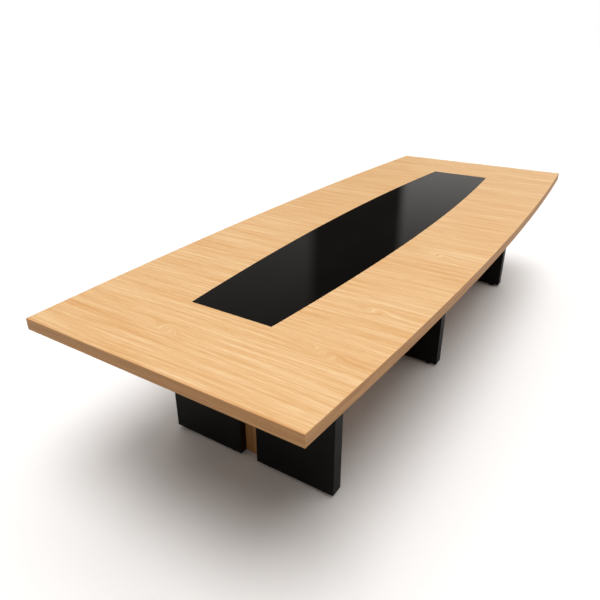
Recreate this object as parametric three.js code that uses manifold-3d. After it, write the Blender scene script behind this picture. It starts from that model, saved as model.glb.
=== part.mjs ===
// Conference table: a boat-shaped top in two halves with a flush glass inlay, carried by three pairs of
// panel legs on levelling feet, with a hollow wooden spine that ties the pairs together.
// Millimetres. +X runs along the table to its far end, +Y to its left and +Z up.
// The origin lies on the floor under the middle of the top.
import * as THREE from 'three';
import { mergeVertices } from 'three/addons/utils/BufferGeometryUtils.js';
import Module from 'manifold-3d';

const wasm = await Module();
wasm.setup();

// Top: two boards, thickened along the rim and edged all round
const TABLE_HEIGHT = 750;
const TABLE_LENGTH = 3500;
const END_WIDTH = 1200;
const SIDE_BOW = 55;
const BOARD_THICKNESS = 25;
const STRIP_THICKNESS = 20;
const STRIP_WIDTH = 90;
const BAND_THICKNESS = 2;
const PLATE_LENGTH = 200;
const PLATE_WIDTH = 100;
const PLATE_THICKNESS = 5;

// Glass inlay, laid flush in a recess on two tapes
const INLAY_LENGTH = 2640;
const INLAY_END_WIDTH = 376;
const INLAY_BOW = 60;
const INLAY_THICKNESS = 6;
const INLAY_REVEAL = 0.6;
const TAPE_WIDTH = 25;
const TAPE_THICKNESS = 1;
const TAPE_MARGIN = 40;

// Leg panels: overhangs are from the top's ends, and from its sides at the ends
const LEG_THICKNESS = 60;
const LEG_END_OVERHANG = 500;
const LEG_SIDE_OVERHANG = 180;
const MIDDLE_PAIR_X = -60;

// Spine between the panels of each pair
const SPINE_WIDTH = 84;
const SPINE_BOARD_THICKNESS = 18;
const SPINE_END_THICKNESS = 20;
const SPINE_SETBACK = 35;
const SPACER_LENGTH = 60;

// Steel angles: one under the top and one beside the spine for each panel
const ANGLE_FLANGE = 40;
const ANGLE_THICKNESS = 3;
const TOP_ANGLE_LENGTH = 300;
const CORNER_ANGLE_LENGTH = 560;

// Levelling feet, screwed into the underside of the panels
const FOOT_HEIGHT = 15;
const FOOT_INSET = 55;
const FOOT_PAD_RADIUS = 19;
const FOOT_PAD_HEIGHT = 7;
const FOOT_PAD_CHAMFER = 1.5;
const FOOT_HEX_RADIUS = 10;
const STEM_RADIUS = 4;
const STEM_LENGTH = 38;
const STEM_CLEARANCE = 0.3;
const BORE_SPARE = 4;

// Gap between pieces that are glued, screwed or rested on each other
const FIT = 0.3;

// Facets
const SIDE_STEPS = 16;
const ROUND_STEPS = 20;

// Levels and places that follow from the sizes above
const boardBottom = TABLE_HEIGHT - BOARD_THICKNESS;
const rimBottom = boardBottom - STRIP_THICKNESS;
const legBottom = FOOT_HEIGHT + FIT;
const legTop = boardBottom - FIT;
const legHeights = [legBottom, legTop];
const endX = TABLE_LENGTH / 2;
const seamX = FIT / 2;
const coreEndX = endX - BAND_THICKNESS - FIT;
const coreInset = BAND_THICKNESS + FIT;
const stripEndX = coreEndX - STRIP_WIDTH;
const legInnerY = SPINE_WIDTH / 2 + FIT;
const legOuterY = END_WIDTH / 2 - LEG_SIDE_OVERHANG;
const outerPairX = endX - LEG_END_OVERHANG - LEG_THICKNESS / 2;
const spineEndX = outerPairX + LEG_THICKNESS / 2 - SPINE_SETBACK;
const spineBoardEndX = spineEndX - SPINE_END_THICKNESS - FIT;

const sides = [
  { name: 'left', sign: 1 },
  { name: 'right', sign: -1 },
];
const halves = [
  { name: 'near', sign: -1 },
  { name: 'far', sign: 1 },
];
// The angles of a pair sit on the face of its panels that looks along angleSign
const pairs = [
  { name: 'near', x: -outerPairX, angleSign: 1 },
  { name: 'middle', x: MIDDLE_PAIR_X, angleSign: -1 },
  { name: 'far', x: outerPairX, angleSign: -1 },
];

const oak = new THREE.MeshStandardMaterial({ color: 0xe7b882, roughness: 0.4 });
const oakEdge = new THREE.MeshStandardMaterial({ color: 0xbe8d5b, roughness: 0.5 });
const chipboard = new THREE.MeshStandardMaterial({ color: 0xb59a78, roughness: 0.9 });
const spineWood = new THREE.MeshStandardMaterial({ color: 0xad7a47, roughness: 0.5 });
const batten = new THREE.MeshStandardMaterial({ color: 0xc9a878, roughness: 0.8 });
const blackGlass = new THREE.MeshStandardMaterial({ color: 0x0a0a0a, roughness: 0.05 });
const blackLaminate = new THREE.MeshStandardMaterial({ color: 0x0b0a09, roughness: 0.5 });
const blackSteel = new THREE.MeshStandardMaterial({ color: 0x141414, roughness: 0.5 });
const zincSteel = new THREE.MeshStandardMaterial({ color: 0xa9adb0, roughness: 0.4, metalness: 1 });
const foamTape = new THREE.MeshStandardMaterial({ color: 0x2a2a2a, roughness: 0.95 });
const footNylon = new THREE.MeshStandardMaterial({ color: 0x1c1c1c, roughness: 0.6 });

const table = new THREE.Group();

function addPiece(name, geometry, material) {
  const mesh = new THREE.Mesh(geometry, material);
  mesh.name = name;
  table.add(mesh);
}

// Joins and cuts work on closed meshes with shared vertices
function toSolid(geometry) {
  const bare = geometry.clone();
  bare.deleteAttribute('normal');
  bare.deleteAttribute('uv');
  const merged = mergeVertices(bare);
  return new wasm.Manifold(new wasm.Mesh({
    numProp: 3,
    vertProperties: Float32Array.from(merged.attributes.position.array),
    triVerts: Uint32Array.from(merged.index.array),
  }));
}

function toGeometry(solid) {
  const mesh = solid.getMesh();
  const geometry = new THREE.BufferGeometry();
  geometry.setAttribute('position', new THREE.BufferAttribute(mesh.vertProperties, 3));
  geometry.setIndex(new THREE.BufferAttribute(mesh.triVerts, 1));
  geometry.computeVertexNormals();
  return geometry;
}

function cut(geometry, cutters) {
  const cutSolid = cutters.reduce((solid, cutter) => solid.subtract(toSolid(cutter)), toSolid(geometry));
  return toGeometry(cutSolid);
}

function join(first, second) {
  return toGeometry(toSolid(first).add(toSolid(second)));
}

// A box between two values on each axis, given in either order
function block([x0, x1], [y0, y1], [z0, z1]) {
  const box = new THREE.BoxGeometry(Math.abs(x1 - x0), Math.abs(y1 - y0), Math.abs(z1 - z0));
  return box.translate((x0 + x1) / 2, (y0 + y1) / 2, (z0 + z1) / 2);
}

function slab(points, [z0, z1]) {
  const slabGeometry = new THREE.ExtrudeGeometry(new THREE.Shape(points), { depth: z1 - z0, bevelEnabled: false });
  return slabGeometry.translate(0, 0, z0);
}

// Each bowed side is an arc through the two end corners and the widest point between them
function bowedPlan(length, endWidth, bow) {
  const radius = (bow ** 2 + (length / 2) ** 2) / (2 * bow);
  return { radius, centreY: endWidth / 2 + bow - radius };
}

function sideY(plan, inset, x) {
  return plan.centreY + Math.sqrt((plan.radius - inset) ** 2 - x ** 2);
}

function sidePoints(plan, inset, fromX, toX, sign) {
  const points = [];
  for (let step = 0; step <= SIDE_STEPS; step += 1) {
    const x = fromX + (toX - fromX) * step / SIDE_STEPS;
    points.push(new THREE.Vector2(x, sign * sideY(plan, inset, x)));
  }
  return points;
}

// Outline from side to side, and outline of a strip that follows one side
function acrossOutline(plan, inset, fromX, toX) {
  return [...sidePoints(plan, inset, fromX, toX, 1), ...sidePoints(plan, inset, toX, fromX, -1)];
}

function rimOutline(plan, outerInset, innerInset, fromX, toX, sign) {
  const outer = sidePoints(plan, outerInset, fromX, toX, sign);
  return [...outer, ...sidePoints(plan, innerInset, toX, fromX, sign)];
}

const topPlan = bowedPlan(TABLE_LENGTH, END_WIDTH, SIDE_BOW);
const inlayPlan = bowedPlan(INLAY_LENGTH, INLAY_END_WIDTH, INLAY_BOW);

// Boards, their thickening strips and their edge bands
function addTop() {
  const recessBottom = TABLE_HEIGHT - INLAY_THICKNESS - TAPE_THICKNESS - 2 * FIT;
  const recessEndX = INLAY_LENGTH / 2 + INLAY_REVEAL;
  const recessOutline = acrossOutline(inlayPlan, -INLAY_REVEAL, -recessEndX, recessEndX);
  const recess = slab(recessOutline, [recessBottom, TABLE_HEIGHT + BOARD_THICKNESS]);
  const stripHeights = [rimBottom, boardBottom - FIT];
  const bandHeights = [rimBottom, TABLE_HEIGHT];
  const stripInset = coreInset + STRIP_WIDTH;
  for (const half of halves) {
    const seam = half.sign * seamX;
    const coreEnd = half.sign * coreEndX;
    const stripEnd = half.sign * stripEndX;
    const boardOutline = acrossOutline(topPlan, coreInset, coreEnd, seam);
    const board = slab(boardOutline, [boardBottom, TABLE_HEIGHT]);
    addPiece(`top_board_${half.name}`, cut(board, [recess]), oak);
    const endStrip = slab(acrossOutline(topPlan, coreInset, coreEnd, stripEnd), stripHeights);
    addPiece(`end_strip_${half.name}`, endStrip, chipboard);
    const bandX = [half.sign * endX, half.sign * (endX - BAND_THICKNESS)];
    const endBand = block(bandX, [-END_WIDTH / 2, END_WIDTH / 2], bandHeights);
    addPiece(`end_band_${half.name}`, endBand, oakEdge);
    for (const side of sides) {
      const place = `${half.name}_${side.name}`;
      const stripStart = stripEnd - half.sign * FIT;
      const stripOutline = rimOutline(topPlan, coreInset, stripInset, stripStart, seam, side.sign);
      addPiece(`side_strip_${place}`, slab(stripOutline, stripHeights), chipboard);
      const bandOutline = rimOutline(topPlan, 0, BAND_THICKNESS, coreEnd, seam, side.sign);
      addPiece(`side_band_${place}`, slab(bandOutline, bandHeights), oakEdge);
    }
  }
}

// Plates under the joint of the two boards, midway between the middle legs and the rim strips
function addJoiningPlates() {
  const stripInnerY = sideY(topPlan, coreInset + STRIP_WIDTH, 0);
  const middleY = (legOuterY + stripInnerY) / 2;
  const plateTop = boardBottom - FIT;
  for (const side of sides) {
    const y = [side.sign * middleY - PLATE_WIDTH / 2, side.sign * middleY + PLATE_WIDTH / 2];
    const plate = block([-PLATE_LENGTH / 2, PLATE_LENGTH / 2], y, [plateTop - PLATE_THICKNESS, plateTop]);
    addPiece(`joining_plate_${side.name}`, plate, zincSteel);
  }
}

function addInlay() {
  const inlayBottom = TABLE_HEIGHT - INLAY_THICKNESS;
  const outline = acrossOutline(inlayPlan, 0, -INLAY_LENGTH / 2, INLAY_LENGTH / 2);
  addPiece('glass_inlay', slab(outline, [inlayBottom, TABLE_HEIGHT]), blackGlass);
  const tapeTop = inlayBottom - FIT;
  const tapeEndX = INLAY_LENGTH / 2 - TAPE_MARGIN;
  const tapeOuterY = INLAY_END_WIDTH / 2 - TAPE_MARGIN;
  for (const side of sides) {
    const y = [side.sign * tapeOuterY, side.sign * (tapeOuterY - TAPE_WIDTH)];
    const tape = block([-tapeEndX, tapeEndX], y, [tapeTop - TAPE_THICKNESS, tapeTop]);
    addPiece(`inlay_tape_${side.name}`, tape, foamTape);
  }
}

// One foot: chamfered pad and stem, with a hexagon for the spanner, standing on the floor at the origin
function footGeometry() {
  const padCorner = FOOT_PAD_RADIUS - FOOT_PAD_CHAMFER;
  const profile = [
    new THREE.Vector2(0, 0),
    new THREE.Vector2(padCorner, 0),
    new THREE.Vector2(FOOT_PAD_RADIUS, FOOT_PAD_CHAMFER),
    new THREE.Vector2(FOOT_PAD_RADIUS, FOOT_PAD_HEIGHT),
    new THREE.Vector2(STEM_RADIUS, FOOT_PAD_HEIGHT),
    new THREE.Vector2(STEM_RADIUS, FOOT_HEIGHT + STEM_LENGTH),
    new THREE.Vector2(0, FOOT_HEIGHT + STEM_LENGTH),
  ];
  const padAndStem = new THREE.LatheGeometry(profile, ROUND_STEPS).rotateX(Math.PI / 2);
  const hexBottom = FOOT_PAD_HEIGHT / 2;
  const hexHeight = FOOT_HEIGHT - hexBottom;
  const hexagon = new THREE.CylinderGeometry(FOOT_HEX_RADIUS, FOOT_HEX_RADIUS, hexHeight, 6);
  hexagon.rotateX(Math.PI / 2);
  hexagon.translate(0, 0, hexBottom + hexHeight / 2);
  return join(padAndStem, hexagon);
}

function stemBore(x, y) {
  const radius = STEM_RADIUS + STEM_CLEARANCE;
  const depth = STEM_LENGTH + BORE_SPARE;
  const bore = new THREE.CylinderGeometry(radius, radius, 2 * depth, ROUND_STEPS);
  return bore.rotateX(Math.PI / 2).translate(x, y, legBottom);
}

// Leg panels with their bores, and a foot near each end of each panel
function addLegs() {
  const foot = footGeometry();
  const footPlaces = [
    { name: 'outer', y: legOuterY - FOOT_INSET },
    { name: 'inner', y: legInnerY + FOOT_INSET },
  ];
  for (const pair of pairs) {
    for (const side of sides) {
      const place = `${pair.name}_${side.name}`;
      const x = [pair.x - LEG_THICKNESS / 2, pair.x + LEG_THICKNESS / 2];
      const panel = block(x, [side.sign * legInnerY, side.sign * legOuterY], legHeights);
      const bores = footPlaces.map((spot) => stemBore(pair.x, side.sign * spot.y));
      addPiece(`leg_${place}`, cut(panel, bores), blackLaminate);
      for (const spot of footPlaces) {
        const footHere = foot.clone().translate(pair.x, side.sign * spot.y, 0);
        addPiece(`foot_${place}_${spot.name}`, footHere, footNylon);
      }
    }
  }
}

// Spine: two long boards held apart by battens and closed by an end piece between the outer leg pairs
function addSpine() {
  const boardInnerY = SPINE_WIDTH / 2 - SPINE_BOARD_THICKNESS;
  for (const side of sides) {
    const y = [side.sign * boardInnerY, side.sign * SPINE_WIDTH / 2];
    addPiece(`spine_board_${side.name}`, block([-spineBoardEndX, spineBoardEndX], y, legHeights), spineWood);
  }
  for (const half of halves) {
    const x = [half.sign * spineEndX, half.sign * (spineEndX - SPINE_END_THICKNESS)];
    const endPiece = block(x, [-SPINE_WIDTH / 2, SPINE_WIDTH / 2], legHeights);
    addPiece(`spine_end_${half.name}`, endPiece, spineWood);
  }
  const spacerPlaces = [
    { name: 'near', x: -spineBoardEndX + SPACER_LENGTH / 2 },
    { name: 'middle', x: MIDDLE_PAIR_X },
    { name: 'far', x: spineBoardEndX - SPACER_LENGTH / 2 },
  ];
  const spacerY = boardInnerY - FIT;
  for (const spot of spacerPlaces) {
    const x = [spot.x - SPACER_LENGTH / 2, spot.x + SPACER_LENGTH / 2];
    addPiece(`spine_spacer_${spot.name}`, block(x, [-spacerY, spacerY], legHeights), batten);
  }
}

// L section with its corner at the origin and its flanges along the two given directions
function angleOutline(signA, signB) {
  const corners = [
    [0, 0],
    [ANGLE_FLANGE, 0],
    [ANGLE_FLANGE, ANGLE_THICKNESS],
    [ANGLE_THICKNESS, ANGLE_THICKNESS],
    [ANGLE_THICKNESS, ANGLE_FLANGE],
    [0, ANGLE_FLANGE],
  ];
  return corners.map(([a, b]) => new THREE.Vector2(signA * a, signB * b));
}

// Each panel is held by an angle under the top and by an upright one in its corner with the spine
function addAngles() {
  const panelMiddleY = (legInnerY + legOuterY) / 2;
  const panelMiddleZ = (legBottom + legTop) / 2;
  for (const pair of pairs) {
    const faceX = pair.x + pair.angleSign * (LEG_THICKNESS / 2 + FIT);
    for (const side of sides) {
      const place = `${pair.name}_${side.name}`;
      const halfLength = TOP_ANGLE_LENGTH / 2;
      const topAngle = slab(angleOutline(pair.angleSign, -1), [-halfLength, halfLength]);
      topAngle.rotateX(Math.PI / 2);
      topAngle.translate(faceX, side.sign * panelMiddleY, boardBottom - FIT);
      addPiece(`top_angle_${place}`, topAngle, blackSteel);
      const halfHeight = CORNER_ANGLE_LENGTH / 2;
      const cornerAngle = slab(angleOutline(pair.angleSign, side.sign), [-halfHeight, halfHeight]);
      cornerAngle.translate(faceX, side.sign * legInnerY, panelMiddleZ);
      addPiece(`corner_angle_${place}`, cornerAngle, blackSteel);
    }
  }
}

addTop();
addJoiningPlates();
addInlay();
addLegs();
addSpine();
addAngles();

export default table;
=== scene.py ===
import math

import bmesh
import bpy
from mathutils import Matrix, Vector


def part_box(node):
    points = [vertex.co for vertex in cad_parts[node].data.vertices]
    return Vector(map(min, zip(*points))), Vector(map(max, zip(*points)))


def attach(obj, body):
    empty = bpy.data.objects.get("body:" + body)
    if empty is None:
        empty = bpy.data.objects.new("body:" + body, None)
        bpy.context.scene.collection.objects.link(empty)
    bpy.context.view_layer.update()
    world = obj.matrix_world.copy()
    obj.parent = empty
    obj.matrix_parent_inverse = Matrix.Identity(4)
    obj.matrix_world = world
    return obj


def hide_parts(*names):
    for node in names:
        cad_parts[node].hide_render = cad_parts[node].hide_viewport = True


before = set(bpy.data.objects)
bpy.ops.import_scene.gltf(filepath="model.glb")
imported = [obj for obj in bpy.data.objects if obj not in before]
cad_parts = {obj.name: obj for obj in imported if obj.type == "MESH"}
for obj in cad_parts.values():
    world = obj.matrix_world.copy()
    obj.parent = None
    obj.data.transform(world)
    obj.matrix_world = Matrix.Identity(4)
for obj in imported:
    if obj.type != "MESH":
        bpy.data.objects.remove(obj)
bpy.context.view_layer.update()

halves = ("near", "far")
sides = ("left", "right")
pairs = ("near", "middle", "far")
spots = ("outer", "inner")
tiny = 1e-5  # m, how close two places count as one
weldReach = 1e-6  # m, points closer than this are merged
cutOver = 0.01  # m that a cutter reaches past the face where it goes in
flat = 0.9  # least share of a face's normal along an axis for the face to count as square to it


# camera at the photograph's place, fitted to the table's edges
view = {
    "frameSize": 600,  # px
    "focalLength": 555.31,  # px
    "sensor": 36.0,  # mm
    "farthest": 200.0,  # m
    "place": (-2.7152, -1.2046, 1.6875),
    "turn": 32.724,  # degrees from +X towards +Y
    "tilt": -25.778,  # degrees, below level
}


def addCamera():
    lens = bpy.data.cameras.new("camera")
    lens.sensor_width = view["sensor"]
    lens.lens = view["focalLength"] * view["sensor"] / view["frameSize"]
    lens.clip_end = view["farthest"]
    camera = bpy.data.objects.new("camera", lens)
    camera.location = view["place"]
    camera.rotation_euler = (math.radians(90 + view["tilt"]), 0, math.radians(view["turn"] - 90))
    bpy.context.scene.collection.objects.link(camera)
    bpy.context.scene.camera = camera


addCamera()
print("camera placed")


# node wiring: sums on wires add Math nodes, and every other node comes from Paint.node
class Wire:
    def __init__(self, paint, socket):
        self.paint = paint
        self.socket = socket

    def math(self, operation, *values):
        return self.paint.node("ShaderNodeMath", {"operation": operation}, dict(enumerate(values)))

    def __add__(self, other):
        return self.math("ADD", self, other)

    def __radd__(self, other):
        return self.math("ADD", other, self)

    def __sub__(self, other):
        return self.math("SUBTRACT", self, other)

    def __rsub__(self, other):
        return self.math("SUBTRACT", other, self)

    def __mul__(self, other):
        return self.math("MULTIPLY", self, other)

    def __rmul__(self, other):
        return self.math("MULTIPLY", other, self)

    def __truediv__(self, other):
        return self.math("DIVIDE", self, other)

    def __rtruediv__(self, other):
        return self.math("DIVIDE", other, self)

    def __pow__(self, other):
        return self.math("POWER", self, other)


class Paint:
    def __init__(self, tree):
        self.tree = tree
        self.tree.nodes.clear()

    def node(self, kind, settings=None, sockets=None, out=0):
        node = self.tree.nodes.new(kind)
        for key, value in (settings or {}).items():
            if key == "stops":
                self.setStops(node.color_ramp.elements, value)
            else:
                setattr(node, key, value)
        for key, value in (sockets or {}).items():
            if isinstance(value, Wire):
                self.tree.links.new(value.socket, node.inputs[key])
            else:
                node.inputs[key].default_value = value
        return Wire(self, node.outputs[out]) if node.outputs else None

    def outputs(self, wire):  # every output of the node that a wire comes from
        return [Wire(self, socket) for socket in wire.socket.node.outputs]

    def setStops(self, elements, stops):
        while len(elements) < len(stops):
            elements.new(1)
        for element, (position, colour) in zip(elements, stops):
            element.position = position
            element.color = colour

    def place(self):
        return self.node("ShaderNodeTexCoord", out="Object")

    def split(self, vector):
        return self.outputs(self.node("ShaderNodeSeparateXYZ", {}, {0: vector}))

    def vector(self, x, y, z=0.0):
        return self.node("ShaderNodeCombineXYZ", {}, {0: x, 1: y, 2: z})

    def drawnOut(self, place, rates):  # a place with its own rate on each axis
        return self.node("ShaderNodeVectorMath", {"operation": "MULTIPLY"}, {0: place, 1: rates})

    def noise(self, vector, scale=1.0, detail=2.0, roughness=0.5):
        values = {"Vector": vector, "Scale": scale, "Detail": detail, "Roughness": roughness}
        return self.node("ShaderNodeTexNoise", {}, values)

    def grain(self, along, across, rates, seed=0.0, **settings):  # streaks as noise about zero
        place = self.vector(along * rates[0], across * rates[1], seed)
        return self.noise(place, **settings) - 0.5

    def ramp(self, value, stops):
        return self.node("ShaderNodeValToRGB", {"stops": stops}, {"Fac": value})

    def step(self, value, low, high):  # soft step from 0 at low to 1 at high
        sockets = {"Value": value, "From Min": low, "From Max": high}
        return self.node("ShaderNodeMapRange", {"interpolation_type": "SMOOTHSTEP"}, sockets)

    def mix(self, factor, first, second):
        return self.node("ShaderNodeMix", {"data_type": "RGBA"}, {0: factor, 6: first, 7: second}, out=2)

    def bump(self, height, depth):
        return self.node("ShaderNodeBump", {}, {"Strength": 1.0, "Distance": depth, "Height": height})

    def surface(self, **sockets):
        names = {key.replace("_", " "): value for key, value in sockets.items()}
        shader = self.node("ShaderNodeBsdfPrincipled", {}, names)
        self.node("ShaderNodeOutputMaterial", {}, {"Surface": shader})


def newFinish(name):
    material = bpy.data.materials.new(name)
    material.use_nodes = True
    return material, Paint(material.node_tree)


def tone(red, green, blue):  # a colour as seen on screen, 0 to 255, made linear
    shares = [value / 255 for value in (red, green, blue)]
    linear = [s / 12.92 if s <= 0.04045 else ((s + 0.055) / 1.055) ** 2.4 for s in shares]
    return (*linear, 1.0)


def threeTone(paint, shade, look):  # dark, middle and light at the look's stops
    names = ("dark", "middle", "light")
    return paint.ramp(shade, [(stop, tone(*look[name])) for stop, name in zip(look["stops"], names)])


def twoTone(paint, pattern, look):  # from dark to light over the look's soft range
    return paint.mix(paint.step(pattern, *look["soft"]), tone(*look["dark"]), tone(*look["light"]))


# oak-look laminate of the top, its grain across the table
oakTop = {
    "dark": (217, 161, 101),
    "middle": (231, 187, 133),
    "light": (245, 214, 167),
    "stops": (0.15, 0.5, 0.85),
    "contrast": 1.2,
    "grain": {  # rates along and across the table
        "drift": {"rates": (1.3, 0.9), "detail": 1.0},
        "waver": {"rates": (6, 3), "seed": 4.0, "detail": 1.0},
        "broad": {"rates": (8, 0.7), "seed": 1.0},
        "streak": {"rates": (40, 1.3), "seed": 2.0},
        "fine": {"rates": (110, 2.8), "seed": 3.0, "detail": 3.0, "roughness": 0.6},
        "pore": {"rates": (480, 24), "seed": 5.0, "detail": 1.0},
    },
    "drift": 0.03,  # m that the grain wanders along the table
    "waver": 0.004,
    "broad": 0.2,  # weight of each width of streak
    "streak": 0.42,
    "fine": 0.95,
    "pore": 0.35,
    "eyes": ((-1.371, -0.437), (-1.009, -0.428), (-0.331, -0.432), (-0.022, -0.388), (-1.529, 0.122)),
    "eyeReach": (0.022, 0.042),  # m along and across the table
    "eyeTwist": 1.7,  # radians that the grain turns at the middle of an eye
    "eyeDepth": 0.1,  # how much stronger the figure is there
    "eyeLight": 0.05,  # and how much lighter
    "roughness": 0.42,
    "polish": 0.25,  # how much smoother the light streaks are
    "specular": 0.35,
    "relief": 0.00025,  # m
    "fineRelief": 0.5,  # depth of the fine streaks as a share of the pores'
}


def turnAtEyes(along, across, look):
    # both places move round each eye, most at its middle, so the grain swirls there
    newAlong, newAcross = along, across
    total = None
    for eyeX, eyeY in look["eyes"]:
        offX, offY = along - eyeX, across - eyeY
        farX, farY = offX / look["eyeReach"][0], offY / look["eyeReach"][1]
        eye = 1 / (1 + (farX * farX + farY * farY) ** 2)
        turn = eye * look["eyeTwist"]
        less, sine = turn.math("COSINE", turn) - 1, turn.math("SINE", turn)
        newAlong = newAlong + offX * less + offY * sine
        newAcross = newAcross + offY * less - offX * sine
        total = eye if total is None else total + eye
    return newAlong, newAcross, total


def oakFinish():
    material, paint = newFinish("oakTop")
    x, y = paint.split(paint.place())[:2]
    along, across, eye = turnAtEyes(x, y, oakTop)
    grain = oakTop["grain"]
    drift, waver = [paint.grain(along, across, **grain[name]) * oakTop[name] for name in ("drift", "waver")]
    line = along + drift + waver
    widths = ("broad", "streak", "fine", "pore")
    broad, streak, fine, pore = [paint.grain(line, across, **grain[name]) for name in widths]
    figure = (streak * oakTop["streak"] + fine * oakTop["fine"]) * (1 + eye * oakTop["eyeDepth"])
    shade = broad * oakTop["broad"] + figure + pore * oakTop["pore"] + eye * oakTop["eyeLight"]
    paint.surface(
        Base_Color=threeTone(paint, 0.5 + shade * oakTop["contrast"], oakTop),
        Roughness=oakTop["roughness"] - fine * oakTop["polish"],
        Specular_IOR_Level=oakTop["specular"],
        Normal=paint.bump(pore + fine * oakTop["fineRelief"], oakTop["relief"]),
    )
    return material


# edge bands: the same oak, its grain along the band
oakEdge = {
    "dark": (170, 122, 75),
    "middle": (190, 141, 91),
    "light": (209, 162, 112),
    "stops": (0.2, 0.5, 0.8),
    "grain": {  # rates along the band and up it
        "drift": {"rates": (2.2, 3)},
        "streak": {"rates": (2.4, 120), "seed": 7.0},
        "fine": {"rates": (9, 520), "seed": 8.0},
        "fleck": {"rates": (150, 900), "seed": 9.0, "detail": 1.0},
    },
    "drift": 0.02,  # m
    "streak": 0.9,
    "fine": 0.5,
    "fleck": 0.5,
    "roughness": 0.5,
    "polish": 0.2,
    "specular": 0.3,
    "relief": 0.0002,  # m
}


def oakEdgeFinish(name, alongAxis):
    material, paint = newFinish(name)
    place = paint.split(paint.place())
    along, up = place[alongAxis], place[2]
    grain = oakEdge["grain"]
    line = up + paint.grain(along, up, **grain["drift"]) * oakEdge["drift"]
    streak, fine, fleck = [paint.grain(along, line, **grain[width]) for width in ("streak", "fine", "fleck")]
    shade = 0.5 + streak * oakEdge["streak"] + fine * oakEdge["fine"] + fleck * oakEdge["fleck"]
    paint.surface(
        Base_Color=threeTone(paint, shade, oakEdge),
        Roughness=oakEdge["roughness"] - fine * oakEdge["polish"],
        Specular_IOR_Level=oakEdge["specular"],
        Normal=paint.bump(fleck, oakEdge["relief"]),
    )
    return material


# brown wood of the spine
spineLook = {
    "dark": (140, 97, 55),
    "middle": (173, 122, 71),
    "light": (199, 147, 94),
    "stops": (0.2, 0.5, 0.8),
    "grain": {  # rates along the grain and across it
        "drift": {"rates": (1.7, 4)},
        "streak": {"rates": (1.8, 40)},
        "fine": {"rates": (9, 260)},
        "pore": {"rates": (40, 900), "detail": 1.0},
    },
    "depthRates": {"streak": 1, "fine": 30, "pore": 40},  # so that the two boards differ
    "drift": 0.05,  # m
    "streak": 1.1,
    "fine": 0.6,
    "pore": 0.35,
    "roughness": 0.5,
    "polish": 0.3,
    "specular": 0.35,
    "relief": 0.0003,  # m
}


def spineFinish(name, alongAxis, acrossAxis):
    material, paint = newFinish(name)
    place = paint.split(paint.place())
    along, across, depth = place[alongAxis], place[acrossAxis], place[1]
    grain = spineLook["grain"]
    line = across + paint.grain(along, across, **grain["drift"]) * spineLook["drift"]
    streak, fine, pore = [
        paint.grain(along, line, seed=depth * rate, **grain[width])
        for width, rate in spineLook["depthRates"].items()
    ]
    shade = 0.5 + streak * spineLook["streak"] + fine * spineLook["fine"] + pore * spineLook["pore"]
    paint.surface(
        Base_Color=threeTone(paint, shade, spineLook),
        Roughness=spineLook["roughness"] - fine * spineLook["polish"],
        Specular_IOR_Level=spineLook["specular"],
        Normal=paint.bump(pore + fine, spineLook["relief"]),
    )
    return material


# satin black laminate of the leg panels, and black powder coat of the angles
blackLook = {
    "dark": (7, 5, 3),
    "light": (11, 9, 6),
    "soft": (0.3, 0.7),
    "cloudScale": 9,
    "gritScale": 1400,
    "roughness": 0.5,
    "patches": 0.12,  # spread of the roughness
    "specular": 0.22,
    "relief": 0.00006,  # m
}
coatLook = {
    "dark": (14, 14, 14),
    "light": (22, 22, 22),
    "soft": (0.3, 0.7),
    "cloudScale": 30,
    "gritScale": 900,
    "roughness": 0.48,
    "patches": 0.1,
    "specular": 0.4,
    "relief": 0.00008,
}


def satinBlackFinish(name, look):
    material, paint = newFinish(name)
    place = paint.place()
    cloud = paint.noise(place, scale=look["cloudScale"], detail=3.0)
    grit = paint.noise(place, scale=look["gritScale"], detail=1.0)
    paint.surface(
        Base_Color=twoTone(paint, cloud, look),
        Roughness=look["roughness"] + (cloud - 0.5) * look["patches"],
        Specular_IOR_Level=look["specular"],
        Normal=paint.bump(grit, look["relief"]),
    )
    return material


# black glass of the inlay, with a trace of wiping marks
glassLook = {
    "dark": (10, 8, 6),
    "light": (14, 12, 9),
    "soft": (0.35, 0.7),
    "wipeAlong": (1.6, 0.8),  # rates of x and y along the wipes
    "wipeAcross": (-0.6, 5),
    "roughness": 0.035,
    "haze": 0.03,  # added roughness
    "hazeSoft": (0.4, 0.8),
    "specular": 0.5,
}


def glassFinish():
    material, paint = newFinish("blackGlass")
    x, y = paint.split(paint.place())[:2]
    wipes = (glassLook["wipeAlong"], glassLook["wipeAcross"])
    along, across = [x * rateX + y * rateY for rateX, rateY in wipes]
    wipe = paint.noise(paint.vector(along, across), detail=3.0)
    paint.surface(
        Base_Color=twoTone(paint, wipe, glassLook),
        Roughness=glassLook["roughness"] + paint.step(wipe, *glassLook["hazeSoft"]) * glassLook["haze"],
        Specular_IOR_Level=glassLook["specular"],
    )
    return material


# zinc-plated steel of plates, screws and stems
steelLook = {
    "dark": (158, 160, 160),
    "light": (196, 197, 194),
    "soft": (0.3, 0.7),
    "cloudScale": 45,
    "scratchRates": (900, 60, 60),
    "roughness": 0.36,
    "patches": 0.3,
    "scratches": 0.12,
    "relief": 0.00004,  # m
}


def steelFinish():
    material, paint = newFinish("zincSteel")
    place = paint.place()
    cloud = paint.noise(place, scale=steelLook["cloudScale"], detail=4.0, roughness=0.6)
    scratch = paint.noise(paint.drawnOut(place, steelLook["scratchRates"]))
    spread = (cloud - 0.5) * steelLook["patches"] + (scratch - 0.5) * steelLook["scratches"]
    paint.surface(
        Base_Color=twoTone(paint, cloud, steelLook),
        Metallic=1.0,
        Roughness=steelLook["roughness"] + spread,
        Normal=paint.bump(scratch, steelLook["relief"]),
    )
    return material


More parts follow.
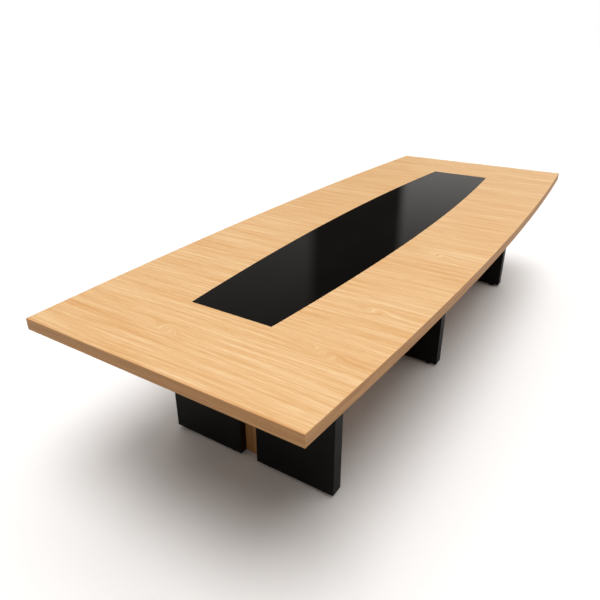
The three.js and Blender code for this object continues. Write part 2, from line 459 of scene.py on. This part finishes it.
# raw chipboard of the rim strips, and the balancing paper under the boards
chipLook = {
    "dark": (136, 106, 72),
    "middle": (180, 148, 107),
    "light": (212, 184, 142),
    "stops": (0.0, 0.45, 1.0),
    "chipRates": (190, 320, 420),
    "dustScale": 700,
    "chips": 0.8,  # weight of each chip's own shade
    "dust": 0.5,
    "shift": 0.1,  # towards light
    "roughness": 0.85,
    "patches": 0.1,  # spread of the roughness
    "specular": 0.2,
    "relief": 0.0004,  # m
}
paperLook = {
    "dark": (112, 92, 74),
    "light": (128, 107, 87),
    "soft": (0.3, 0.7),
    "fibreScale": 60,
    "speckScale": 900,
    "roughness": 0.75,
    "patches": 0.2,
    "specular": 0.25,
    "relief": 0.0001,  # m
    "speckRelief": 0.4,  # depth of the specks as a share of the fibres'
}


def chipboardFinish():
    material, paint = newFinish("rawChipboard")
    place = paint.place()
    chip = paint.drawnOut(place, chipLook["chipRates"])
    cells = paint.node("ShaderNodeTexVoronoi", {"feature": "F1"}, {"Vector": chip, "Scale": 1.0})
    distance, chance = paint.outputs(cells)[:2]
    hue, wear = paint.split(chance)[:2]
    dust = paint.noise(place, scale=chipLook["dustScale"]) - 0.5
    shade = hue * chipLook["chips"] + dust * chipLook["dust"] + chipLook["shift"]
    paint.surface(
        Base_Color=threeTone(paint, shade, chipLook),
        Roughness=chipLook["roughness"] + wear * chipLook["patches"],
        Specular_IOR_Level=chipLook["specular"],
        Normal=paint.bump(1 - distance, chipLook["relief"]),
    )
    return material


def balancePaperFinish():
    material, paint = newFinish("balancePaper")
    place = paint.place()
    fibre = paint.noise(place, scale=paperLook["fibreScale"], detail=5.0, roughness=0.7)
    speck = paint.noise(place, scale=paperLook["speckScale"], detail=1.0)
    paint.surface(
        Base_Color=twoTone(paint, fibre, paperLook),
        Roughness=paperLook["roughness"] + (speck - 0.5) * paperLook["patches"],
        Specular_IOR_Level=paperLook["specular"],
        Normal=paint.bump(fibre + speck * paperLook["speckRelief"], paperLook["relief"]),
    )
    return material


# sawn softwood of the spacers
battenLook = {
    "dark": (186, 150, 100),
    "light": (222, 192, 144),
    "soft": (0.35, 0.65),
    "ringRates": (75, 60, 1.6),
    "sawRates": (40, 40, 480),
    "roughness": 0.8,
    "patches": 0.2,
    "relief": 0.0004,  # m
}


def battenFinish():
    material, paint = newFinish("sawnSoftwood")
    place = paint.place()
    ring = paint.noise(paint.drawnOut(place, battenLook["ringRates"]))
    saw = paint.noise(paint.drawnOut(place, battenLook["sawRates"]), detail=1.0)
    paint.surface(
        Base_Color=twoTone(paint, ring, battenLook),
        Roughness=battenLook["roughness"] + (saw - 0.5) * battenLook["patches"],
        Normal=paint.bump(saw, battenLook["relief"]),
    )
    return material


# moulded nylon of the feet, and foam tape under the glass
nylonLook = {
    "dark": (18, 18, 18),
    "light": (30, 30, 30),
    "cloudScale": 120,
    "gritScale": 2200,
    "roughness": 0.55,
    "patches": 0.2,
    "specular": 0.4,
    "relief": 0.00005,  # m
}
foamLook = {
    "dark": (24, 24, 24),
    "light": (48, 48, 48),
    "soft": (0.35, 0.65),
    "cellScale": 1500,
    "roughness": 0.95,
    "patches": 0.1,
    "relief": 0.0003,  # m
}


def nylonFinish():
    material, paint = newFinish("mouldedNylon")
    place = paint.place()
    cloud = paint.noise(place, scale=nylonLook["cloudScale"], detail=3.0)
    grit = paint.noise(place, scale=nylonLook["gritScale"], detail=1.0)
    paint.surface(
        Base_Color=paint.mix(cloud, tone(*nylonLook["dark"]), tone(*nylonLook["light"])),
        Roughness=nylonLook["roughness"] + (grit - 0.5) * nylonLook["patches"],
        Specular_IOR_Level=nylonLook["specular"],
        Normal=paint.bump(grit, nylonLook["relief"]),
    )
    return material


def foamFinish():
    material, paint = newFinish("foamTape")
    cell = paint.noise(paint.place(), scale=foamLook["cellScale"])
    paint.surface(
        Base_Color=twoTone(paint, cell, foamLook),
        Roughness=foamLook["roughness"] - cell * foamLook["patches"],
        Normal=paint.bump(cell, foamLook["relief"]),
    )
    return material


oak = oakFinish()
oakAcross = oakEdgeFinish("oakEdgeAcross", 1)
oakAlong = oakEdgeFinish("oakEdgeAlong", 0)
spineAlong = spineFinish("spineWoodAlong", 0, 2)
spineUpright = spineFinish("spineWoodUpright", 2, 1)
blackPanel = satinBlackFinish("blackLaminate", blackLook)
glass = glassFinish()
steel = steelFinish()
blackSteel = satinBlackFinish("blackSteel", coatLook)
chipboard = chipboardFinish()
paper = balancePaperFinish()
batten = battenFinish()
nylon = nylonFinish()
foam = foamFinish()
print("finishes mixed")


# small modelling steps that every piece shares
def clearSelection():
    if bpy.context.mode != "OBJECT":
        bpy.ops.object.mode_set(mode="OBJECT")
    bpy.ops.object.select_all(action="DESELECT")


def selectOnly(piece):
    clearSelection()
    piece.select_set(True)
    bpy.context.view_layer.objects.active = piece


def nameNew(name):
    bpy.ops.object.transform_apply(location=True, rotation=True, scale=True)
    piece = bpy.context.object
    piece.rotation_mode = "XYZ"
    piece.name = name
    piece.data.name = name
    return piece


def startBox(name, low, high):
    clearSelection()
    bpy.ops.mesh.primitive_cube_add(size=1, location=(low + high) / 2, scale=high - low)
    return nameNew(name)


def startSheet(name, middle, size, turn=(0, 0, 0)):
    clearSelection()
    bpy.ops.mesh.primitive_plane_add(size=1, location=middle, rotation=turn)
    bpy.context.object.scale = (*size, 1)
    return nameNew(name)


def startDrum(name, radius, low, high, corners=24, place=(0, 0)):
    clearSelection()
    centre = (*place, (low + high) / 2)
    bpy.ops.mesh.primitive_cylinder_add(vertices=corners, radius=radius, depth=high - low, location=centre)
    return nameNew(name)


def openEdit(piece):
    selectOnly(piece)
    bpy.ops.object.mode_set(mode="EDIT")


def closeEdit():
    bpy.ops.mesh.select_all(action="SELECT")
    bpy.ops.mesh.remove_doubles(threshold=weldReach)
    bpy.ops.mesh.normals_make_consistent(inside=False)
    bpy.ops.object.mode_set(mode="OBJECT")


def pick(kind, test):  # test gets a point, an edge's two ends, or a face's middle and normal
    bpy.ops.mesh.select_mode(type=kind)
    bpy.ops.mesh.select_all(action="DESELECT")
    mesh = bpy.context.edit_object.data
    editMesh = bmesh.from_edit_mesh(mesh)
    if kind == "VERT":
        found = [point for point in editMesh.verts if test(point.co)]
    elif kind == "EDGE":
        found = [edge for edge in editMesh.edges if test(edge.verts[0].co, edge.verts[1].co)]
    else:
        found = [face for face in editMesh.faces if test(face.calc_center_median(), face.normal)]
    for part in found:
        part.select_set(True)
    editMesh.select_flush_mode()
    bmesh.update_edit_mesh(mesh)


def pushOut(x, y, z):
    bpy.ops.mesh.extrude_region_move(TRANSFORM_OT_translate={"value": (x, y, z)})


def scaleAbout(centre, x, y, z):
    bpy.ops.transform.resize(value=(x, y, z), center_override=centre)


def applyModifier(piece, modifier):
    selectOnly(piece)
    bpy.ops.object.modifier_apply(modifier=modifier.name)


def roundEdges(piece, width, segments=2, leastTurn=40):  # edges whose faces turn by that many degrees
    bevel = piece.modifiers.new("roundEdges", "BEVEL")
    bevel.width = width
    bevel.segments = segments
    bevel.limit_method = "ANGLE"
    bevel.angle_limit = math.radians(leastTurn)
    applyModifier(piece, bevel)


def combine(piece, tool, operation):
    boolean = piece.modifiers.new("combine", "BOOLEAN")
    boolean.operation = operation
    boolean.solver = "EXACT"
    boolean.object = tool
    applyModifier(piece, boolean)
    bpy.data.objects.remove(tool)


def joinPieces(main, others):
    selectOnly(main)
    for piece in others:
        piece.select_set(True)
    bpy.ops.object.join()
    return main


def copyPiece(source, name, place, turn=(0, 0, 0)):
    piece = source.copy()
    piece.data = source.data.copy()
    bpy.context.scene.collection.objects.link(piece)
    piece.location = place
    piece.rotation_mode = "ZYX"  # about Z first, so a screw turns on its own axis
    piece.rotation_euler = turn
    selectOnly(piece)
    return nameNew(name)


def smoothRound(piece, angle=35):
    selectOnly(piece)
    bpy.ops.object.shade_smooth_by_angle(angle=math.radians(angle))


def fit(piece, node, finish, body="table"):
    if not piece.data.materials:
        piece.data.materials.append(finish)
    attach(piece, body)
    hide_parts(node)


def secondFinish(piece, finish, test):  # another finish on the faces that pass the test
    piece.data.materials.append(finish)
    for face in piece.data.polygons:
        if test(face.center, face.normal):
            face.material_index = len(piece.data.materials) - 1


# bowed outlines, read from the frame: an arc through the end corners and the widest point
def bowPlan(halfLength, endY, widestY):
    bow = widestY - endY
    radius = (bow ** 2 + halfLength ** 2) / (2 * bow)
    return {"radius": radius, "centreY": widestY - radius}


def sideY(plan, inset, x):
    return plan["centreY"] + math.sqrt((plan["radius"] - inset) ** 2 - x ** 2)


def endCorner(node):  # widest y at a node's far end
    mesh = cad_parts[node].data
    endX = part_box(node)[1].x
    return max(point.co.y for point in mesh.vertices if endX - point.co.x < tiny)


farBandLow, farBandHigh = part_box("end_band_far")
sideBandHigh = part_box("side_band_far_left")[1]
glassLow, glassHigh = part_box("glass_inlay")
topPlan = bowPlan(farBandHigh.x, farBandHigh.y, sideBandHigh.y)
glassPlan = bowPlan(glassHigh.x, endCorner("glass_inlay"), glassHigh.y)


def bowedSlab(name, plan, inset, fromX, toX, low, high, rows):
    slab = startSheet(name, ((fromX + toX) / 2, 0, low), (toX - fromX, 1))
    openEdit(slab)
    pick("EDGE", lambda a, b: abs(a.y - b.y) < tiny)
    bpy.ops.mesh.subdivide(number_cuts=rows - 1)
    pitch = (toX - fromX) / rows
    for row in range(rows + 1):
        x = fromX + row * pitch
        pick("VERT", lambda p: abs(p.x - x) < pitch / 4)
        scaleAbout((x, 0, low), 1, 2 * sideY(plan, inset, x), 1)
    bpy.ops.mesh.select_all(action="SELECT")
    pushOut(0, 0, high - low)
    closeEdit()
    return slab


# top boards with the recess for the glass
boardMake = {"rows": 24, "arris": 0.0002, "reveal": 0.0006, "tapeGap": 0.0003}
glassMake = {"rows": 44, "arris": 0.0008}


def makeBoards():
    reveal = boardMake["reveal"]
    endX = glassHigh.x + reveal
    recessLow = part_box("inlay_tape_left")[0].z - boardMake["tapeGap"]
    for half in halves:
        node = f"top_board_{half}"
        low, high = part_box(node)
        inset = topPlan["radius"] + topPlan["centreY"] - high.y
        board = bowedSlab(f"oakBoard_{half}", topPlan, inset, low.x, high.x, low.z, high.z, boardMake["rows"])
        depth = (recessLow, high.z + cutOver)
        recess = bowedSlab("recess", glassPlan, -reveal, -endX, endX, *depth, glassMake["rows"])
        combine(board, recess, "DIFFERENCE")
        roundEdges(board, boardMake["arris"], 1)
        fit(board, node, oak)
        undersideZ = low.z + 10 * tiny
        secondFinish(board, paper, lambda middle, normal: normal.z < -flat and middle.z < undersideZ)
        secondFinish(board, chipboard, lambda middle, normal: abs(normal.z) < 1 - flat)


# edge bands with a rounded outer arris
bandMake = {"arris": 0.001, "segments": 3, "steps": 28}


def makeEndBand(half):
    node = f"end_band_{half}"
    low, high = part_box(node)
    band = startBox(f"oakEdgeEnd_{half}", low, high)
    outerX = low.x if half == "near" else high.x
    openEdit(band)
    pick("EDGE", lambda a, b: abs(a.x - outerX) < tiny and abs(b.x - outerX) < tiny)
    bpy.ops.mesh.bevel(offset=bandMake["arris"], segments=bandMake["segments"], affect="EDGES")
    closeEdit()
    fit(band, node, oakAcross)


def makeSideBand(half, side):
    node = f"side_band_{half}_{side}"
    low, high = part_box(node)
    turnSign = 1 if side == "left" else -1
    seamX, endX = (high.x, low.x) if half == "near" else (low.x, high.x)
    outerY = turnSign * max(abs(low.y), abs(high.y))
    thickness = farBandHigh.x - farBandLow.x
    middle = (seamX, outerY - turnSign * thickness / 2, (low.z + high.z) / 2)
    section = (high.z - low.z, thickness)
    band = startSheet(f"oakEdgeSide_{half}_{side}", middle, section, (0, math.pi / 2, 0))
    openEdit(band)
    pick("VERT", lambda p: abs(p.y - outerY) < tiny)
    bpy.ops.mesh.bevel(offset=bandMake["arris"], segments=bandMake["segments"], affect="VERTICES")
    bpy.ops.mesh.select_all(action="SELECT")
    centre = (0, turnSign * topPlan["centreY"], 0)
    sweep = math.asin(endX / topPlan["radius"]) - math.asin(seamX / topPlan["radius"])
    bpy.ops.mesh.spin(steps=bandMake["steps"], angle=turnSign * sweep, center=centre, axis=(0, 0, 1))
    closeEdit()
    fit(band, node, oakAlong)


# glass inlay with polished arrises
def makeGlass():
    ends = (glassLow.x, glassHigh.x, glassLow.z, glassHigh.z)
    panel = bowedSlab("glassPanel", glassPlan, 0, *ends, glassMake["rows"])
    roundEdges(panel, glassMake["arris"], 2)
    fit(panel, "glass_inlay", glass)


makeBoards()
for half in halves:
    makeEndBand(half)
    for side in sides:
        makeSideBand(half, side)
makeGlass()
print("top made")


# leg panels with rounded edges and bores for the feet
legMake = {"arris": 0.0012, "segments": 3, "bore": 0.0043, "boreDepth": 0.042}


def makeLegs():
    for pair in pairs:
        for side in sides:
            place = f"{pair}_{side}"
            low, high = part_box(f"leg_{place}")
            panel = startBox(f"blackPanel_{place}", low, high)
            roundEdges(panel, legMake["arris"], legMake["segments"])
            boreLow, boreHigh = low.z - cutOver, low.z + legMake["boreDepth"]
            for spot in spots:
                middle = sum(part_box(f"foot_{place}_{spot}"), Vector()) / 2
                bore = startDrum("bore", legMake["bore"], boreLow, boreHigh, place=(middle.x, middle.y))
                combine(panel, bore, "DIFFERENCE")
            fit(panel, f"leg_{place}", blackPanel)


# spine boards and end pieces with softened edges
spineMake = {"arris": 0.001, "segments": 2}


def makeSpinePiece(name, node, finish):
    piece = startBox(name, *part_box(node))
    roundEdges(piece, spineMake["arris"], spineMake["segments"])
    fit(piece, node, finish)


makeLegs()
for side in sides:
    makeSpinePiece(f"spinePlank_{side}", f"spine_board_{side}", spineAlong)
for half in halves:
    makeSpinePiece(f"spineCap_{half}", f"spine_end_{half}", spineUpright)
print("legs and spine made")


# levelling foot: rounded pad, spanner hexagon and threaded stem
footMake = {
    "pad": ((0.0172, 0.0), (0.0182, 0.0004), (0.0188, 0.0012), (0.019, 0.0022), (0.019, 0.005),
            (0.0186, 0.0062), (0.0176, 0.0069), (0.0155, 0.007)),  # radius and height of each step
    "corners": 48,
    "hexagon": 0.010,
    "hexagonLow": 0.006,
    "hexagonHigh": 0.015,
    "hexagonArris": 0.0006,
    "stem": 0.004,
    "plainEnd": 0.001,  # bare stem below and above the thread
    "threadDepth": 0.0006,
    "threadPitch": 0.00125,
    "threadCrest": (0.45, 0.6),  # where a turn's crest starts and ends, as a share of the pitch
    "steelAbove": 0.0002,  # over the hexagon
}


def footSteps(stemTop):  # radius and height of each ring from the sole to the top of the stem
    steps = list(footMake["pad"])
    root = footMake["stem"] - footMake["threadDepth"]
    pitch = footMake["threadPitch"]
    threadStart = footMake["hexagonHigh"] + footMake["plainEnd"]
    steps += [(root, steps[-1][1]), (root, threadStart)]
    for turn in range(int((stemTop - footMake["plainEnd"] - threadStart) / pitch)):
        height = threadStart + turn * pitch
        steps += [(footMake["stem"], height + pitch * share) for share in footMake["threadCrest"]]
        steps.append((root, height + pitch))
    steps.append((root, stemTop))
    return steps


def makeFoot():
    steps = footSteps(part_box("foot_near_left_outer")[1].z)
    clearSelection()
    bpy.ops.mesh.primitive_circle_add(vertices=footMake["corners"], radius=steps[0][0], fill_type="NGON")
    foot = nameNew("foot")
    openEdit(foot)
    bpy.ops.mesh.select_all(action="SELECT")
    for (radius, height), (nextRadius, nextHeight) in zip(steps, steps[1:]):
        pushOut(0, 0, nextHeight - height)
        scaleAbout((0, 0, nextHeight), nextRadius / radius, nextRadius / radius, 1)
    closeEdit()
    hexagon = startDrum("hexagon", footMake["hexagon"], footMake["hexagonLow"], footMake["hexagonHigh"], 6)
    roundEdges(hexagon, footMake["hexagonArris"])
    combine(foot, hexagon, "UNION")
    smoothRound(foot)
    return foot


def placeFeet():
    pattern = makeFoot()
    for pair in pairs:
        for side in sides:
            for spot in spots:
                node = f"foot_{pair}_{side}_{spot}"
                low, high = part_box(node)
                centre = ((low.x + high.x) / 2, (low.y + high.y) / 2, low.z)
                foot = copyPiece(pattern, f"levelFoot_{pair}_{side}_{spot}", centre)
                fit(foot, node, nylon, body=node)
                steelLow = low.z + footMake["hexagonHigh"] + footMake["steelAbove"]
                secondFinish(foot, steel, lambda middle, normal: middle.z > steelLow)
    bpy.data.objects.remove(pattern)


placeFeet()
print("feet made")


# pan-head screw with a cross recess, its seat at the origin and its head up
screwMake = {
    "head": 0.0045,
    "headHeight": 0.0026,
    "headRound": 0.0014,
    "headSegments": 4,
    "corners": 20,
    "shank": 0.0024,
    "crossArm": 0.0024,
    "crossWidth": 0.0009,
    "crossDepth": 0.0013,
}


def makeScrew(shankLength):
    headTop = screwMake["headHeight"]
    screw = startDrum("screw", screwMake["head"], 0, headTop, screwMake["corners"])
    openEdit(screw)
    pick("EDGE", lambda a, b: a.z > headTop - tiny and b.z > headTop - tiny)
    bpy.ops.mesh.bevel(offset=screwMake["headRound"], segments=screwMake["headSegments"], affect="EDGES")
    pick("FACE", lambda middle, normal: normal.z < -flat)
    bpy.ops.mesh.inset(thickness=screwMake["head"] - screwMake["shank"])
    pushOut(0, 0, -shankLength)
    closeEdit()
    crossLow, crossHigh = headTop - screwMake["crossDepth"], headTop + cutOver
    arm, width = screwMake["crossArm"], screwMake["crossWidth"] / 2
    for reach in ((arm, width), (width, arm)):
        bar = startBox("crossBar", Vector((-reach[0], -reach[1], crossLow)), Vector((*reach, crossHigh)))
        combine(screw, bar, "DIFFERENCE")
    smoothRound(screw)
    screw.data.materials.append(steel)
    return screw


# steel angle with a rolled bend: corner at the origin, flanges along +X and +Y, length along Z
angleMake = {
    "bendOuter": 0.005,
    "bendInner": 0.0022,
    "outerSegments": 6,
    "innerSegments": 4,
    "hole": 0.0028,
    "edge": 0.0003,
    "endMargin": 0.03,
    "topScrews": 3,  # on each flange
    "cornerScrews": 4,
    "cornerStagger": 0.05,  # m between the two flanges' screws
    "screwTwist": (0.4, 0.5),  # radians from one screw to the next, on each flange
}


def bendSheet(name, flange, thickness, length):
    angle = startBox(name, Vector((0, 0, -length / 2)), Vector((flange, thickness, length / 2)))
    openEdit(angle)
    bpy.ops.mesh.select_all(action="SELECT")
    bpy.ops.mesh.bisect(plane_co=(thickness, 0, 0), plane_no=(1, 0, 0))
    pick("FACE", lambda middle, normal: normal.y > flat and middle.x < thickness)
    pushOut(0, flange - thickness, 0)
    pick("EDGE", lambda a, b: max(a.x, a.y, b.x, b.y) < tiny)
    bpy.ops.mesh.bevel(offset=angleMake["bendOuter"], segments=angleMake["outerSegments"], affect="EDGES")
    pick("EDGE", lambda a, b: max(abs(v - thickness) for v in (a.x, a.y, b.x, b.y)) < tiny)
    bpy.ops.mesh.bevel(offset=angleMake["bendInner"], segments=angleMake["innerSegments"], affect="EDGES")
    closeEdit()
    roundEdges(angle, angleMake["edge"], 1)
    return angle


def drill(piece, place, turn):
    hole = startDrum("hole", angleMake["hole"], -cutOver, 2 * cutOver)
    cutter = copyPiece(hole, "cutter", place, turn)
    bpy.data.objects.remove(hole)
    combine(piece, cutter, "DIFFERENCE")


def makeAngle(name, flange, thickness, length, screwsPerFlange, stagger):
    angle = bendSheet(name, flange, thickness, length)
    middle = (flange + thickness + angleMake["bendInner"]) / 2
    reach = length / 2 - angleMake["endMargin"]
    twistX, twistY = angleMake["screwTwist"]
    # for each flange: a hole's start, a screw's seat, the turn of both, their shift along Z and the twist
    onX = ((middle, 0), (middle, thickness), (-math.pi / 2, 0), -stagger / 2, twistX)
    onY = ((0, middle), (thickness, middle), (0, math.pi / 2), stagger / 2, twistY)
    screw = makeScrew(thickness)
    screws = []
    for start, seat, turn, shift, twist in (onX, onY):
        for number in range(screwsPerFlange):
            z = 2 * reach * number / (screwsPerFlange - 1) - reach + shift
            drill(angle, (*start, z), (*turn, 0))
            screws.append(copyPiece(screw, "angleScrew", (*seat, z), (*turn, twist * number)))
    bpy.data.objects.remove(screw)
    smoothRound(angle)
    angle.data.materials.append(blackSteel)
    return joinPieces(angle, screws)


def sheetThickness(node):  # from the first two of an angle's three rows of points
    rows = sorted({round(point.co.x, 5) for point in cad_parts[node].data.vertices})
    return rows[1] - rows[0]


def placeAngles():
    topLow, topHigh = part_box("top_angle_near_left")
    cornerLow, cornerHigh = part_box("corner_angle_near_left")
    sheet = (topHigh.x - topLow.x, sheetThickness("top_angle_near_left"))
    topLength, cornerLength = topHigh.y - topLow.y, cornerHigh.z - cornerLow.z
    topPattern = makeAngle("topPattern", *sheet, topLength, angleMake["topScrews"], 0.0)
    cornerScrews = (angleMake["cornerScrews"], angleMake["cornerStagger"])
    cornerPattern = makeAngle("cornerPattern", *sheet, cornerLength, *cornerScrews)
    for pair in pairs:
        legMiddle = sum(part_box(f"leg_{pair}_left"), Vector()).x / 2
        for side in sides:
            place = f"{pair}_{side}"
            low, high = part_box(f"top_angle_{place}")
            facing = 1 if (low.x + high.x) / 2 > legMiddle else -1
            cornerX = low.x if facing > 0 else high.x
            corner = (cornerX, (low.y + high.y) / 2, high.z)
            turn = (-math.pi / 2, 0 if facing > 0 else math.pi, 0)
            top = copyPiece(topPattern, f"topAngle_{place}", corner, turn)
            fit(top, f"top_angle_{place}", blackSteel)
            low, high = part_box(f"corner_angle_{place}")
            outward = 1 if side == "left" else -1
            cornerY = low.y if outward > 0 else high.y
            quarter = {(1, 1): 0, (-1, 1): 1, (-1, -1): 2, (1, -1): 3}[(facing, outward)]
            corner = (cornerX, cornerY, (low.z + high.z) / 2)
            upright = copyPiece(cornerPattern, f"cornerAngle_{place}", corner, (0, 0, quarter * math.pi / 2))
            fit(upright, f"corner_angle_{place}", blackSteel)
    bpy.data.objects.remove(topPattern)
    bpy.data.objects.remove(cornerPattern)


# joining plates under the seam
plateMake = {
    "corner": 0.008,
    "cornerSegments": 5,
    "edge": 0.0004,
    "screwX": (0.03, 0.08),
    "screwY": 0.03,
    "shank": 0.002,
    "screwTwist": 0.5,  # radians from one pair of screws to the next
}


def placePlates():
    screw = makeScrew(plateMake["shank"])
    for side in sides:
        node = f"joining_plate_{side}"
        low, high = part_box(node)
        plate = startBox(f"joinPlate_{side}", low, high)
        openEdit(plate)
        pick("EDGE", lambda a, b: abs(a.z - b.z) > tiny)
        bpy.ops.mesh.bevel(offset=plateMake["corner"], segments=plateMake["cornerSegments"], affect="EDGES")
        closeEdit()
        roundEdges(plate, plateMake["edge"], 1)
        middle = (low + high) / 2
        screws = []
        for number, x in enumerate(sign * reach for reach in plateMake["screwX"] for sign in (1, -1)):
            for sign in (1, -1):
                place = (x, middle.y + sign * plateMake["screwY"], low.z)
                turn = (math.pi, 0, plateMake["screwTwist"] * number)
                screws.append(copyPiece(screw, "plateScrew", place, turn))
        smoothRound(plate)
        plate.data.materials.append(steel)
        joinPieces(plate, screws)
        fit(plate, node, steel)
    bpy.data.objects.remove(screw)


placeAngles()
placePlates()
print("fittings made")


# CAD nodes that keep their shape get their finish here
keptFinishes = {"end_strip": chipboard, "side_strip": chipboard, "inlay_tape": foam, "spine_spacer": batten}


def dressKeptNodes():
    for name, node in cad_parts.items():
        for start, finish in keptFinishes.items():
            if name.startswith(start):
                node.data.materials.clear()
                node.data.materials.append(finish)


dressKeptNodes()
print("kept nodes dressed")


# stage: white floor and sky, soft lamps, and a round studio wall that only gloss can see
stageMake = {
    "floorReach": 60.0,
    "floorTone": (0.6, 0.6, 0.6, 1.0),  # as the table sees it
    "floorSeen": (1.0, 0.995, 0.99, 1.0),  # as the camera sees it
    "skyLight": (0.31, 0.279, 0.26, 1.0),  # warm, so that deep shadow is warmer than its pale rim
    "skySeen": (1.0, 1.0, 1.0, 1.0),
    # strength, spread, tilt from straight overhead and the side that it tilts to, in degrees from +X to +Y
    "lamps": {"nearBox": (1.36, 40, 12, 225), "farBox": (1.4, 70, 15, 0)},
    "wallReach": 12.0,
    "wallFoot": -0.5,
    "wallHeight": 20.0,
    "wallCorners": 96,
    "wallGlow": 0.025,
    "wallTint": (1.0, 0.955, 0.92),
    # each card on the wall: where it starts and ends and how soft its edges are, in degrees from +X to +Y,
    # then its glow at the cards' height and how much of that it loses with each metre above it
    "cards": (
        (-190, -85, 12, 0.12, 0.02),
        (-85, -2, 12, 0.9, 0.05),
        (-85, 21.6, 0.8, 0.215, 0.096),
        (33.3, 190, 1.1, 0.15, 0.03),
    ),
    "cardHeight": 5.0,
    "cardLeast": 1 / 3,  # share of its glow that a card keeps however high
}


def addFloor():
    clearSelection()
    bpy.ops.mesh.primitive_plane_add(size=2 * stageMake["floorReach"])
    floor = nameNew("floor")
    material, paint = newFinish("whiteFloor")
    seen = paint.node("ShaderNodeLightPath", out="Is Camera Ray")
    colour = paint.mix(seen, stageMake["floorTone"], stageMake["floorSeen"])
    diffuse = paint.node("ShaderNodeBsdfDiffuse", {}, {"Color": colour})
    below = paint.node("ShaderNodeNewGeometry", out="Backfacing")
    clear = paint.node("ShaderNodeBsdfTransparent")  # open to a view from below
    surface = paint.node("ShaderNodeMixShader", {}, {0: below, 1: diffuse, 2: clear})
    paint.node("ShaderNodeOutputMaterial", {}, {"Surface": surface})
    floor.data.materials.append(material)


def addSky():
    sky = bpy.data.worlds.new("sky")
    bpy.context.scene.world = sky
    sky.use_nodes = True
    paint = Paint(sky.node_tree)
    camera = paint.node("ShaderNodeLightPath", out="Is Camera Ray")
    glossy = paint.node("ShaderNodeLightPath", out="Is Glossy Ray")
    through = paint.node("ShaderNodeLightPath", out="Is Transmission Ray")
    seen = camera.math("MAXIMUM", camera.math("MAXIMUM", camera, glossy), through)
    colour = paint.mix(seen, stageMake["skyLight"], stageMake["skySeen"])
    background = paint.node("ShaderNodeBackground", {}, {"Color": colour, "Strength": 1.0})
    paint.node("ShaderNodeOutputWorld", {}, {"Surface": background})


def addStudioWall():
    ends = (stageMake["wallFoot"], stageMake["wallHeight"])
    wall = startDrum("studioWall", stageMake["wallReach"], *ends, stageMake["wallCorners"])
    openEdit(wall)
    pick("FACE", lambda middle, normal: normal.z < -flat)
    bpy.ops.mesh.delete(type="FACE")
    bpy.ops.object.mode_set(mode="OBJECT")
    material, paint = newFinish("studioGlow")
    x, y, z = paint.split(paint.place())
    azimuth = x.math("ARCTAN2", y, x) * (180 / math.pi)
    glow = stageMake["wallGlow"]
    for first, last, soft, level, fall in stageMake["cards"]:
        start = paint.step(azimuth, first - soft, first + soft)
        end = paint.step(azimuth, last - soft, last + soft)
        lit = level - (z - stageMake["cardHeight"]) * fall
        glow = glow + (start - end) * lit.math("MAXIMUM", lit, level * stageMake["cardLeast"])
    tinted = {0: stageMake["wallTint"], "Scale": glow}
    colour = paint.node("ShaderNodeVectorMath", {"operation": "SCALE"}, tinted)
    light = paint.node("ShaderNodeEmission", {}, {"Color": colour, "Strength": 1.0})
    paint.node("ShaderNodeOutputMaterial", {}, {"Surface": light})
    wall.data.materials.append(material)
    for ray in ("camera", "diffuse", "transmission", "volume_scatter", "shadow"):
        setattr(wall, f"visible_{ray}", False)


def addLamps():
    for name, (strength, spread, tilt, azimuth) in stageMake["lamps"].items():
        lamp = bpy.data.lights.new(name, "SUN")
        lamp.energy = strength
        lamp.angle = math.radians(spread)
        sun = bpy.data.objects.new(name, lamp)
        sun.rotation_euler = (0, math.radians(tilt), math.radians(azimuth))
        sun.visible_glossy = False
        bpy.context.scene.collection.objects.link(sun)


addFloor()
addSky()
addStudioWall()
addLamps()
bpy.context.scene.view_settings.view_transform = "Standard"
print("stage set")

bpy.context.view_layer.update()
